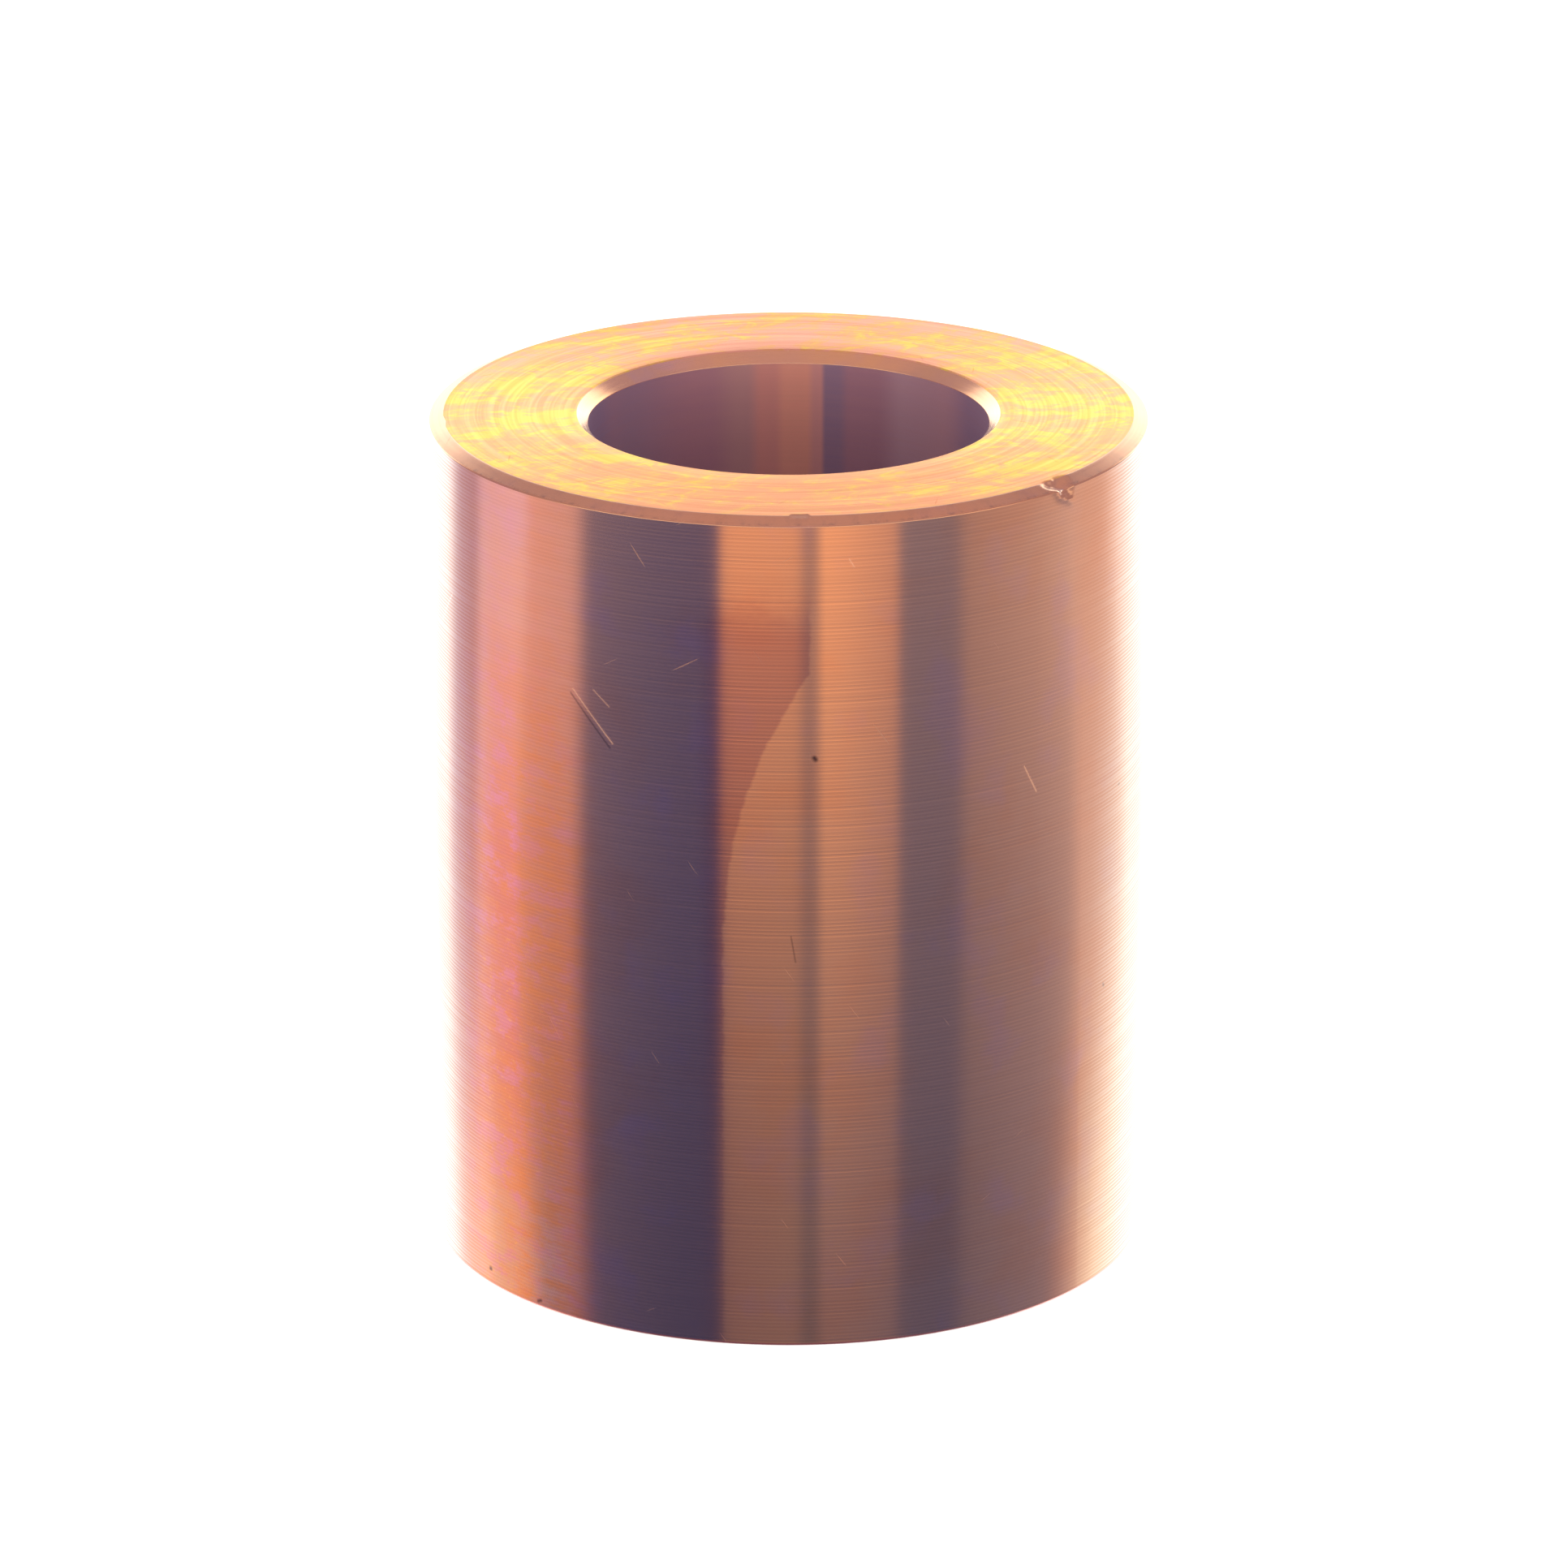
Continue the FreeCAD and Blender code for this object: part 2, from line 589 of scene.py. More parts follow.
class BronzeEffects:
    """The effects that the sleeve's finishes share, each a node group built once.

    A scratch turn is the direction of one set of scratches, in radians, and the place in the
    noise that it is read at.
    """

    LONG_LINES, SHORT_LINES, SHORT_PITCH = 1.6, 9.0, 2.3
    FINE_SHIFT = (0.031, -0.017, 0.023)
    SCRATCH_TURNS = ((0.5, 3.0), (-0.95, 17.0))

    def __init__(self, sizes: SleeveSizes) -> None:
        """Keep the sleeve's sizes, and build every group."""
        self.sizes = sizes
        self.cylinder = self.cylinder_group()
        self.grain = self.grain_group()
        self.heat_tint = self.heat_tint_group()
        self.scratches = self.scratches_group()
        self.stroke = self.stroke_group()

    @staticmethod
    def cylinder_group() -> bpy.types.NodeTree:
        """Place on the sleeve as a lathe sees it.

        Returns:
            The group, which puts out the azimuth in radians and the radius and height in
            millimetres.
        """
        outputs = {"Azimuth": FLOAT, "Radius": FLOAT, "Height": FLOAT}
        group, g, given, out = new_group("place_on_sleeve", {"Position": VECTOR}, outputs)
        axes = g.node("ShaderNodeSeparateXYZ", {0: given["Position"]}).outputs
        x, y, z = axes[0], axes[1], axes[2]
        g.put(out["Azimuth"], g.math("ARCTAN2", x, g.scaled(y, -1.0)))
        squared = g.math("ADD", g.scaled(x, x), g.scaled(y, y))
        g.put(out["Radius"], g.scaled(g.math("SQRT", squared), 1 / MM))
        g.put(out["Height"], g.scaled(z, 1 / MM))
        return group

    @classmethod
    def grain_group(cls) -> bpy.types.NodeTree:
        """Lines that run round the axis.  Across is the distance across them, in millimetres.

        Position turned into a short vector round the axis makes each line long but not
        endless; Across is stretched until a line is a fraction of a millimetre wide.  The
        longer that vector is, the shorter are the lines: one set is long, the other short
        and closer together.

        Returns:
            The group.
        """
        inputs = {"Azimuth": FLOAT, "Across": FLOAT, "Pitch": FLOAT}
        group, g, given, out = new_group("turning_grain", inputs, {"Lines": FLOAT, "Height": FLOAT})
        across = g.math("DIVIDE", given["Across"], given["Pitch"])
        sine, cosine = g.math("SINE", given["Azimuth"]), g.math("COSINE", given["Azimuth"])
        place = g.vector(g.scaled(sine, cls.LONG_LINES), g.scaled(cosine, cls.LONG_LINES), across)
        long_lines = g.noise(place, 1.0, 2.0)
        closer = g.scaled(across, cls.SHORT_PITCH)
        place = g.vector(g.scaled(sine, cls.SHORT_LINES), g.scaled(cosine, cls.SHORT_LINES), closer)
        short_lines = g.noise(place, 1.0, 1.0)
        g.put(out["Lines"], g.ease(long_lines, 0.3, 0.7))
        g.put(out["Height"], g.math("ADD", g.scaled(long_lines, 0.7), g.scaled(short_lines, 0.3)))
        return group

    @classmethod
    def heat_tint_group(cls) -> bpy.types.NodeTree:
        """Patches of two oxide colours over a base colour, at two scales.

        Returns:
            The group.
        """
        inputs = {"Position": VECTOR, "Base": COLOUR, "Warm": COLOUR, "Cool": COLOUR}
        inputs |= {"Amount": FLOAT, "Scale": FLOAT}
        group, g, given, out = new_group("heat_tint", inputs, {"Colour": COLOUR})
        broad = g.noise(given["Position"], given["Scale"], 4.0, 0.6)
        beside = {0: given["Position"], 1: cls.FINE_SHIFT}
        shifted = g.node("ShaderNodeVectorMath", beside, operation="ADD").outputs[0]
        fine = g.noise(shifted, g.scaled(given["Scale"], 2.3), 3.0, 0.55)
        warm = g.scaled(g.ease(broad, 0.46, 0.66), given["Amount"])
        cool = g.scaled(g.ease(fine, 0.52, 0.72), given["Amount"])
        g.put(out["Colour"], g.mix(cool, g.mix(warm, given["Base"], given["Warm"]), given["Cool"]))
        return group

    @classmethod
    def scratches_group(cls) -> bpy.types.NodeTree:
        """Hair scratches in two crossing directions on the surface unrolled flat, in millimetres.

        The surface's two axes are turned by an angle, u and v, and noise is stretched along u.

        Returns:
            The group.
        """
        inputs = {"Along": FLOAT, "Across": FLOAT, "Density": FLOAT}
        group, g, given, out = new_group("hair_scratches", inputs, {"Mask": FLOAT})
        along, across = given["Along"], given["Across"]
        masks = []
        for turn, shift in cls.SCRATCH_TURNS:
            cosine, sine = math.cos(turn), math.sin(turn)
            u = g.math("ADD", g.scaled(along, cosine), g.scaled(across, sine))
            v = g.math("SUBTRACT", g.scaled(across, cosine), g.scaled(along, sine))
            line = g.noise(g.vector(g.scaled(u, 0.22), g.scaled(v, 5.0), shift), 1.0, 0.0)
            masks.append(g.ease(line, g.math("SUBTRACT", 0.86, given["Density"]), 0.9))
        g.put(out["Mask"], g.math("MAXIMUM", masks[0], masks[1]))
        return group

    @staticmethod
    def stroke_group() -> bpy.types.NodeTree:
        """One straight mark on the surface unrolled flat: 1 on its line, fading over Width.

        With p from the mark's start to the place and d from its start to its end, the
        nearest point of the line is the share p.d / d.d, held between 0 and 1, of the way.

        Returns:
            The group.
        """
        inputs = {"Place": VECTOR, "Start": VECTOR, "End": VECTOR, "Width": FLOAT}
        group, g, given, out = new_group("stroke", inputs, {"Mask": FLOAT})

        def vectors(operation: str, first: Value, second: Value) -> bpy.types.bpy_prop_collection:
            """Return the outputs of one Vector Math node."""
            return g.node("ShaderNodeVectorMath", {0: first, 1: second}, operation=operation).outputs

        way = vectors("SUBTRACT", given["End"], given["Start"])["Vector"]
        here = vectors("SUBTRACT", given["Place"], given["Start"])["Vector"]
        progress = vectors("DOT_PRODUCT", here, way)["Value"]
        share = g.math("DIVIDE", progress, vectors("DOT_PRODUCT", way, way)["Value"])
        held = g.math("MINIMUM", g.math("MAXIMUM", share, 0.0), 1.0)
        nearest = g.node("ShaderNodeVectorMath", {0: way, "Scale": held}, operation="SCALE").outputs[0]
        g.put(out["Mask"], g.ease(vectors("DISTANCE", here, nearest)["Value"], given["Width"], 0.0))
        return group


BARE_METAL: Colour = (0.70, 0.33, 0.17)
DIRT: Colour = (0.12, 0.06, 0.06)
# Painted shade: the colour multiplied into the grooves' hollows.
PAINTED_HOLLOW_SHADE_COLOUR: Colour = (0.35, 0.25, 0.25)
# Painted sheen: the white that the base colour is mixed towards at glancing angles.
SHEEN_WHITE: Colour = (1.0, 0.98, 0.98)


@dataclass(frozen=True)
class Mark:
    """A scratch or a speck on the outside wall, from one azimuth and height to another.

    Light is how strong it is: above 0 it is bare metal, and below 0 dirt.
    """

    start: tuple[float, float]
    end: tuple[float, float]
    width: float
    light: float

    def flat(self, radius: float) -> tuple[Colour, Colour]:
        """Return the two ends on the wall unrolled flat, in millimetres."""
        ends = [(math.radians(azimuth) * radius, height, 0.0) for azimuth, height in (self.start, self.end)]
        return ends[0], ends[1]

    @property
    def shade(self) -> Colour:
        """The mark's colour."""
        return BARE_METAL if self.light > 0 else DIRT


MARKS = (
    Mark(start=(-35.8, 42.6), end=(-28.5, 39.5), width=0.12, light=0.36),
    Mark(start=(-36.2, 42.3), end=(-29.0, 39.2), width=0.12, light=-0.5),
    Mark(start=(-31.9, 42.8), end=(-29.1, 41.9), width=0.09, light=0.3),
    Mark(start=(-67.8, 45.5), end=(-73.1, 43.1), width=0.12, light=0.8),
    Mark(start=(40.0, 37.1), end=(42.6, 35.2), width=0.10, light=0.45),
    Mark(start=(9.4, 52.4), end=(10.1, 51.9), width=0.08, light=0.4),
    Mark(start=(0.4, 27.7), end=(1.1, 26.0), width=0.09, light=-0.45),
    Mark(start=(4.0, 39.5), end=(4.2, 39.4), width=0.26, light=-1.0),
    Mark(start=(-56.6, 1.1), end=(-56.4, 1.1), width=0.24, light=-1.0),
    Mark(start=(-44.2, 0.4), end=(-43.6, 0.5), width=0.20, light=-0.8),
    Mark(start=(61.0, 20.1), end=(61.2, 20.0), width=0.20, light=-0.6),
    Mark(start=(66.0, 33.0), end=(66.3, 33.0), width=0.18, light=-0.6),
)


@dataclass(frozen=True)
class PaintedReflectionStreak:
    """A lengthwise streak of painted reflection in the bore: it runs from its start to the next streak's
    start.
    """

    start: float
    soft: float
    colour: Colour


# Painted reflections: the bore's colour by azimuth, brightest towards the back.
PAINTED_REFLECTION_STREAKS = (
    PaintedReflectionStreak(start=0.0, soft=4.0, colour=(0.38, 0.29, 0.46)),
    PaintedReflectionStreak(start=122.0, soft=8.0, colour=(0.60, 0.38, 0.46)),
    PaintedReflectionStreak(start=149.0, soft=5.0, colour=(0.50, 0.27, 0.35)),
    PaintedReflectionStreak(start=163.6, soft=2.0, colour=(0.38, 0.25, 0.37)),
    PaintedReflectionStreak(start=169.9, soft=0.9, colour=(0.78, 0.38, 0.36)),
    PaintedReflectionStreak(start=173.5, soft=1.5, colour=(0.92, 0.42, 0.32)),
    PaintedReflectionStreak(start=182.6, soft=2.0, colour=(0.80, 0.36, 0.32)),
    PaintedReflectionStreak(start=190.0, soft=2.5, colour=(0.62, 0.34, 0.35)),
    PaintedReflectionStreak(start=199.0, soft=5.0, colour=(0.54, 0.28, 0.35)),
    PaintedReflectionStreak(start=222.0, soft=14.0, colour=(0.42, 0.29, 0.42)),
    PaintedReflectionStreak(start=246.0, soft=6.0, colour=(0.34, 0.27, 0.45)),
)


@dataclass(frozen=True)
class BronzeFinish:
    """One turned bronze surface: its colours, gloss and the lines across it, with a painted sheen and
    painted shade in the grooves' hollows.

    The pitch and height of the lines are in millimetres, the tint's scale is in patches a
    metre, and the other numbers are shares from 0 to 1.
    """

    surface: Surface
    base: Colour
    warm: Colour
    cool: Colour
    tint_amount: float
    tint_scale: float
    roughness: float
    roughness_spread: float
    anisotropy: float
    grain_pitch: float
    grain_bump: float
    across_is_height: bool
    scratch_density: float
    # How strongly the base colour is mixed towards white at glancing angles: a painted sheen.
    painted_sheen_strength: float
    # How much the painted sheen is cut in the grooves' hollows: painted shade there.
    groove_shade: float = 0.0
    # How strongly the grooves' hollows are darkened: painted shade.
    hollow_painted_shade: float = 0.0
    line_tone: float = 0.09
    line_shade: float = 0.75
    # Layer Weight facing values where the painted sheen starts and where it is full.
    sheen_starts: float = 0.45
    sheen_full: float = 0.77
    scratch_dulls: float = 0.15
    scratch_depth: float = 0.6
    metallic: float = 1.0

    def material(self, effects: BronzeEffects) -> bpy.types.Material:
        """Build the finish as a material.

        Args:
            effects: the shared node groups.

        Returns:
            The material.
        """
        made = bpy.data.materials.new(f"bronze_{self.surface.name.lower()}")
        made.use_nodes = True
        made.node_tree.nodes.clear()
        g = Graph(made.node_tree)
        position = g.node("ShaderNodeTexCoord").outputs["Object"]
        place = g.use(effects.cylinder, {"Position": position}).outputs
        across = place["Height"] if self.across_is_height else place["Radius"]
        inputs = {"Azimuth": place["Azimuth"], "Across": across, "Pitch": self.grain_pitch}
        grain = g.use(effects.grain, inputs).outputs
        inputs = {"Position": position, "Base": self.base, "Warm": self.warm, "Cool": self.cool}
        inputs |= {"Amount": self.tint_amount, "Scale": self.tint_scale}
        tint = g.use(effects.heat_tint, inputs).outputs["Colour"]
        around = g.scaled(place["Azimuth"], effects.sizes.outside_radius)
        inputs = {"Along": around, "Across": across, "Density": self.scratch_density}
        scratch = g.use(effects.scratches, inputs).outputs["Mask"]
        colour, dull = self.extra_colour(g, effects, place, tint)
        line_colour = tuple(self.line_shade * channel for channel in self.base)
        colour = g.mix(g.scaled(grain["Lines"], self.line_tone), colour, line_colour)
        # Painted shade: the base colour is darkened in the grooves' hollows, by the mesh's groove depth.
        groove = g.node("ShaderNodeAttribute", attribute_name="groove").outputs["Fac"]
        colour = g.mix(g.scaled(groove, self.hollow_painted_shade), colour, PAINTED_HOLLOW_SHADE_COLOUR, "MULTIPLY")
        # Painted sheen: Layer Weight mixes the base colour towards white at glancing angles, less in the
        # grooves' hollows.
        facing = g.node("ShaderNodeLayerWeight", {"Blend": 0.5}).outputs["Facing"]
        sheen = g.scaled(g.ease(facing, self.sheen_starts, self.sheen_full), self.painted_sheen_strength)
        sheen = g.scaled(sheen, g.math("SUBTRACT", 1.0, g.scaled(groove, self.groove_shade)))
        rough = g.line(grain["Lines"], self.roughness_spread, self.roughness)
        relief = g.math("SUBTRACT", grain["Height"], g.scaled(scratch, self.scratch_depth))
        bump = g.node("ShaderNodeBump", {"Height": relief, "Distance": self.grain_bump * MM}).outputs[0]
        inputs = {
            "Base Color": g.mix(sheen, colour, SHEEN_WHITE),
            "Metallic": g.line(dull, -self.metallic, self.metallic),
            "Roughness": g.line(scratch, self.scratch_dulls, rough),
            "Anisotropic": self.anisotropy,
            "Anisotropic Rotation": 0.25,
            "Normal": bump,
        }
        shader = g.node("ShaderNodeBsdfPrincipled", inputs)
        if self.anisotropy > 0:
            tangent = g.node("ShaderNodeTangent", direction_type="RADIAL", axis="Z").outputs[0]
            g.put(shader.inputs["Tangent"], tangent)
        g.node("ShaderNodeOutputMaterial", {"Surface": shader.outputs[0]})
        return made

    def extra_colour(
        self, g: Graph, effects: BronzeEffects, place: dict, colour: Value
    ) -> tuple[Value, Value]:
        """Colour marks that only this surface has.  A plain finish has none.

        Args:
            g: the material's graph.
            effects: the shared node groups.
            place: the place on the sleeve, as Azimuth, Radius and Height.
            colour: the colour underneath.

        Returns:
            The marked colour, and the share by which marks make the surface less metallic.
        """
        return colour, 0.0


@dataclass(frozen=True)
class WallFinish(BronzeFinish):
    """The outside wall: an oil stain, bands of heat colour on one side with painted glints in them,
    scratches and specks.
    """

    stain: Colour = (0.74, 0.66, 0.80)
    stain_left: float = -10.2
    stain_swing: float = 13.6
    stain_power: float = 2.5
    stain_low: float = 25.0
    stain_rise: float = 20.0
    violet_veil: Colour = (0.97, 0.73, 0.84)
    orange_veil: Colour = (1.0, 0.83, 0.68)
    ember: Colour = (0.88, 0.34, 0.12)
    rose: Colour = (0.80, 0.33, 0.40)
    # The colour of the painted glints.
    straw: Colour = (1.00, 0.50, 0.16)
    heat_left: tuple[float, float] = (-76.0, -56.0)
    heat_right: tuple[float, float] = (-30.0, -40.0)
    heat_split: tuple[float, float] = (-49.5, -46.5)

    def extra_colour(
        self, g: Graph, effects: BronzeEffects, place: dict, colour: Value
    ) -> tuple[Value, Value]:
        """Lay the heat colours, the stain and the marks over the wall's colour.

        Args:
            g: the material's graph.
            effects: the shared node groups.
            place: the place on the sleeve, as Azimuth, Radius and Height.
            colour: the colour underneath.

        Returns:
            The marked colour, and the share by which marks make the surface less metallic.
        """
        degrees = g.scaled(place["Azimuth"], math.degrees(1.0))
        height = place["Height"]
        stretched = g.vector(g.scaled(degrees, 0.13), g.scaled(height, 0.9))
        wander = g.noise(stretched, 1.0, 6.0, 0.72)
        stretched = g.vector(g.scaled(degrees, 0.14), g.scaled(height, 0.62), 7.0)
        flicker = g.noise(stretched, 1.0, 5.0, 0.72)
        colour = self.heated(g, degrees, height, (wander, flicker), colour)
        stain = self.stain_share(g, degrees, height, (wander, flicker))
        colour = g.mix(stain, colour, self.stain, "MULTIPLY")
        return self.marked(g, effects, place, colour)

    def heated(
        self, g: Graph, degrees: Value, height: Value, noises: tuple[Value, Value], colour: Value
    ) -> Value:
        """Lay the heat colours and painted glints over the wall's colour, in a patch low on the left.

        A veil tints the patch violet on the left of its split and orange on the right.  Embers and
        roses are noise stretched along the grooves, and so are straw specks that are painted glints.

        Args:
            g: the material's graph.
            degrees: the azimuth.
            height: the height in millimetres.
            noises: the two noises that run along the grooves.
            colour: the colour underneath.

        Returns:
            The tinted colour.
        """
        wander, flicker = noises
        patch = g.scaled(g.ease(degrees, *self.heat_left), g.ease(degrees, *self.heat_right))
        patch = g.scaled(patch, g.line(g.ease(height, 48.0, 30.0), 0.8, 0.2))
        right = g.ease(degrees, *self.heat_split)
        veil = g.mix(right, self.violet_veil, self.orange_veil)
        colour = g.mix(g.scaled(patch, g.ease(height, 1.0, 18.0)), colour, veil, "MULTIPLY")
        embers = g.scaled(g.ease(wander, 0.42, 0.62), g.line(right, 0.35, 0.50))
        colour = g.mix(g.scaled(embers, patch), colour, self.ember)
        roses = g.scaled(g.ease(flicker, 0.48, 0.62), g.line(right, -0.45, 0.80))
        colour = g.mix(g.scaled(roses, patch), colour, self.rose)
        # Painted glints: bright straw specks along the grooves, most low in the patch.
        glints = g.noise(g.vector(g.scaled(degrees, 0.6), g.scaled(height, 4.2), 11.0), 1.0, 3.0, 0.7)
        painted_glints = g.scaled(g.ease(glints, 0.56, 0.70), g.ease(height, 34.0, 20.0))
        painted_glints = g.scaled(g.scaled(painted_glints, patch), g.line(right, -0.20, 0.55))
        return g.mix(painted_glints, colour, self.straw)

    def stain_share(self, g: Graph, degrees: Value, height: Value, noises: tuple[Value, Value]) -> Value:
        """How strong the oil stain is.

        It ends at an azimuth that swings right with height: left + swing x t^power degrees,
        where t is the share of the way up its rise.  Its edge and its top are ragged.

        Args:
            g: the material's graph.
            degrees: the azimuth.
            height: the height in millimetres.
            noises: the two noises that run along the grooves.

        Returns:
            A share from 0 to 1.
        """
        wander, flicker = noises
        share = g.math("DIVIDE", g.math("SUBTRACT", height, self.stain_low), self.stain_rise)
        share = g.math("MINIMUM", g.math("MAXIMUM", share, 0.0), 1.0)
        edge = g.line(g.math("POWER", share, self.stain_power), self.stain_swing, self.stain_left)
        inside = g.math("SUBTRACT", edge, degrees)
        ragged = g.line(g.math("SUBTRACT", wander, 0.5), 1.6, inside)
        stain = g.scaled(g.ease(ragged, -0.25, 0.45), g.ease(degrees, -15.0, -10.5))
        top = g.line(g.math("SUBTRACT", flicker, 0.5), 3.0, height)
        stain = g.scaled(stain, g.ease(top, 51.0, 47.0))
        return g.scaled(stain, g.line(g.ease(height, 8.0, 30.0), 0.6, 0.4))

    @staticmethod
    def marked(g: Graph, effects: BronzeEffects, place: dict, colour: Value) -> tuple[Value, Value]:
        """Lay the scratches and specks over the wall's colour.

        Args:
            g: the material's graph.
            effects: the shared node groups.
            place: the place on the sleeve, as Azimuth, Radius and Height.
            colour: the colour underneath.

        Returns:
            The marked colour, and the share by which marks make the surface less metallic.
        """
        radius = effects.sizes.outside_radius
        flat = g.vector(g.scaled(place["Azimuth"], radius), place["Height"])
        dull = 0.0
        for mark in MARKS:
            start, end = mark.flat(radius)
            inputs = {"Place": flat, "Start": start, "End": end, "Width": mark.width}
            mask = g.scaled(g.use(effects.stroke, inputs).outputs["Mask"], abs(mark.light))
            colour = g.mix(mask, colour, mark.shade)
            if mark.light > 0:
                dull = g.math("MAXIMUM", dull, g.scaled(mask, 0.8))
        return colour, dull


@dataclass(frozen=True)
class BoreFinish(BronzeFinish):
    """The bore: smooth, with lengthwise streaks of brown and violet that are painted reflections."""

    # How much the heat tint shows over the painted reflections.
    tint_over_painted_reflections: float = 0.25

    def extra_colour(
        self, g: Graph, effects: BronzeEffects, place: dict, colour: Value
    ) -> tuple[Value, Value]:
        """Lay the streaks of painted reflection over each other in order, along the azimuth from 0 to 360
        degrees.

        Args:
            g: the material's graph.
            effects: the shared node groups.
            place: the place on the sleeve, as Azimuth, Radius and Height.
            colour: the colour underneath.

        Returns:
            The marked colour, and the share by which marks make the surface less metallic.
        """
        degrees = g.scaled(place["Azimuth"], math.degrees(1.0))
        turned = g.math("ADD", degrees, g.scaled(g.math("LESS_THAN", degrees, 0.0), 360.0))
        painted_reflections = PAINTED_REFLECTION_STREAKS[0].colour
        for streak in PAINTED_REFLECTION_STREAKS[1:]:
            over = g.ease(turned, streak.start - streak.soft, streak.start + streak.soft)
            painted_reflections = g.mix(over, painted_reflections, streak.colour)
        return g.mix(self.tint_over_painted_reflections, painted_reflections, colour, "MULTIPLY"), 0.0


@dataclass(frozen=True)
class RimFinish(BronzeFinish):
    """The outside chamfer, darker in patches towards its lower edge, and the broken edge of the foot."""

    lower_edge_dark: Colour = (0.38, 0.23, 0.21)
    blush: Colour = (0.82, 0.24, 0.20)
    lower_edge_dark_starts: float = 0.26
    lower_edge_dark_full: float = 0.38

    def extra_colour(
        self, g: Graph, effects: BronzeEffects, place: dict, colour: Value
    ) -> tuple[Value, Value]:
        """Darken the chamfer by noise along it, most at its lower edge, and redden the foot's edge.

        Args:
            g: the material's graph.
            effects: the shared node groups.
            place: the place on the sleeve, as Azimuth, Radius and Height.
            colour: the colour underneath.

        Returns:
            The marked colour, and the share by which marks make the surface less metallic.
        """
        height, top = place["Height"], effects.sizes.length
        degrees = g.scaled(place["Azimuth"], math.degrees(1.0))
        # Darker patches by noise, strongest towards the chamfer's lower edge.
        dark_patch_noise = g.noise(g.vector(g.scaled(degrees, 0.4), g.scaled(height, 1.5)), 1.0, 5.0, 0.7)
        lower = g.line(g.ease(height, top - self.lower_edge_dark_starts, top - self.lower_edge_dark_full), 0.6, 0.14)
        colour = g.mix(g.scaled(g.ease(dark_patch_noise, 0.46, 0.64), lower), colour, self.lower_edge_dark)
        return g.mix(g.ease(height, 2.0, 1.0), colour, self.blush), 0.0


@dataclass(frozen=True)
class FaceFinish(BronzeFinish):
    """The faced ends: feathery patches from rose to straw yellow, with more straw towards the sides as a
    painted yellow glare.
    """

    straw: Colour = (0.97, 0.69, 0.12)
    peach: Colour = (0.94, 0.50, 0.22)
    rose: Colour = (0.96, 0.44, 0.24)
    pink: Colour = (0.96, 0.47, 0.37)

    def extra_colour(
        self, g: Graph, effects: BronzeEffects, place: dict, colour: Value
    ) -> tuple[Value, Value]:
        """A broad swirl bends the place that the feathery noise is read at.  Clouds make some parts
        riper, which is nearer to straw, and the distance to the sides does too, as a painted glare
        at the left and right ends.

        Args:
            g: the material's graph.
            effects: the shared node groups.
            place: the place on the sleeve, as Azimuth, Radius and Height.
            colour: the colour underneath.

        Returns:
            The marked colour, and the share by which marks make the surface less metallic.
        """
        axes = g.node("ShaderNodeSeparateXYZ", {0: g.node("ShaderNodeTexCoord").outputs["Object"]}).outputs
        x, y = g.scaled(axes[0], 1 / MM), g.scaled(axes[1], 1 / MM)
        swirl = g.noise(g.vector(g.scaled(x, 0.2), g.scaled(y, 0.4), 2.0), 1.0, 3.0)
        bent = g.vector(g.line(swirl, 3.0, g.scaled(x, 0.58)), g.line(swirl, 4.0, g.scaled(y, 0.85)))
        feather = g.noise(bent, 1.0, 6.0, 0.68)
        cloud = g.noise(g.vector(g.scaled(x, 0.13), g.scaled(y, 0.22), 5.0), 1.0, 3.0)
        ripeness_and_glare = g.line(g.math("SUBTRACT", cloud, 0.5), 0.7, feather)
        # Painted glare: more straw towards the left and right sides of the face.
        sideways_painted_glare = g.math("DIVIDE", g.math("ABSOLUTE", x), place["Radius"])
        ripeness_and_glare = g.line(g.math("SUBTRACT", sideways_painted_glare, 0.6), 0.14, ripeness_and_glare)
        blushed = g.mix(g.ease(y, -4.0, 18.0), self.rose, self.pink)
        cheek = g.mix(g.ease(ripeness_and_glare, 0.36, 0.52), blushed, self.peach)
        return g.mix(g.ease(ripeness_and_glare, 0.48, 0.66), cheek, self.straw), 0.0


